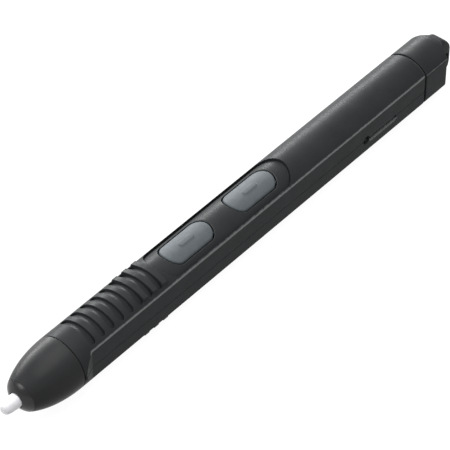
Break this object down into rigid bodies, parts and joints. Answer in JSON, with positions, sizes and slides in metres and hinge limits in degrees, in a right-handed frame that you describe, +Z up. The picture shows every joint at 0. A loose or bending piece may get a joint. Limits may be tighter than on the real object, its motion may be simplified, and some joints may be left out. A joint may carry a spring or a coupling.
{
  "type": "digitizer pen",
  "caption": "Round pen stylus with two side flats, ogive nose with a replaceable nib, grooved and ridged grip, sunk panel with two push buttons, and a rounded end cap with a tether eye between two side scoops",
  "frame": {"origin": "bottom centre of the bounding box of the whole pen", "axes": "+X from the nib to the tether eye along the pen, +Z up through the buttons, +Y to the side without the latch notch"},
  "size_m": [0.1334, 0.012, 0.012],
  "materials": {
    "body_plastic": "fine satin texture",
    "nose_plastic": "satin",
    "guide_plastic": "satin",
    "panel_plastic": "fine satin texture",
    "button_rubber": "matte",
    "nib_plastic": "semi-matte",
    "black_rubber": "matte",
    "membrane_rubber": "matte",
    "cushion_rubber": "matte",
    "plunger_plastic": "smooth",
    "switch_plastic": "smooth",
    "board_laminate": "solder mask",
    "chip_epoxy": "matte",
    "capacitor_ceramic": "smooth",
    "screw_steel": "plated",
    "frame_plastic": "smooth",
    "ferrite": "sintered",
    "copper_winding": "lacquered copper wire",
    "housing_plastic": "smooth",
    "holder_plastic": "smooth",
    "spring_steel": "drawn wire",
    "sensor_plastic": "smooth"
  },
  "bodies": {
    "barrel": {"upper_shell": "body_plastic", "lower_shell": "body_plastic", "nose_cone": "nose_plastic", "nib_guide": "guide_plastic", "nose_oring": "black_rubber", "button_panel": "panel_plastic", "button_membrane": "membrane_rubber", "front_switch": "switch_plastic", "rear_switch": "switch_plastic", "circuit_board": "board_laminate", "control_chip": "chip_epoxy", "chip_capacitors": "capacitor_ceramic", "board_screws": "screw_steel", "inner_frame": "frame_plastic", "ferrite_core": "ferrite", "coil_winding": "copper_winding", "coil_leads": "copper_winding", "core_cushion": "cushion_rubber", "sensor_housing": "housing_plastic", "return_spring": "spring_steel", "pressure_sensor": "sensor_plastic", "cap_gasket": "black_rubber", "end_cap": "body_plastic"},
    "front_button": {"front_button": "button_rubber", "front_plunger": "plunger_plastic"},
    "rear_button": {"rear_button": "button_rubber", "rear_plunger": "plunger_plastic"},
    "nib_carrier": {"nib_holder": "holder_plastic"},
    "nib": {"nib": "nib_plastic"}
  },
  "joints": [
    {"name": "front_button_press", "type": "slide", "parent": "barrel", "child": "front_button", "axis": [0, 0, -1], "range_m": [0, 0.0003], "stiffness_N_per_m": 400, "springref_m": -0.0004},
    {"name": "rear_button_press", "type": "slide", "parent": "barrel", "child": "rear_button", "axis": [0, 0, -1], "range_m": [0, 0.0003], "stiffness_N_per_m": 400, "springref_m": -0.0004},
    {"name": "nib_press", "type": "slide", "parent": "barrel", "child": "nib_carrier", "axis": [1, 0, 0], "range_m": [0, 0.0004], "stiffness_N_per_m": 400, "springref_m": -0.0003, "deforming": ["return_spring"]},
    {"name": "nib_pull", "type": "slide", "parent": "nib_carrier", "child": "nib", "axis": [-1, 0, 0], "range_m": [0, 0.027]}
  ]
}
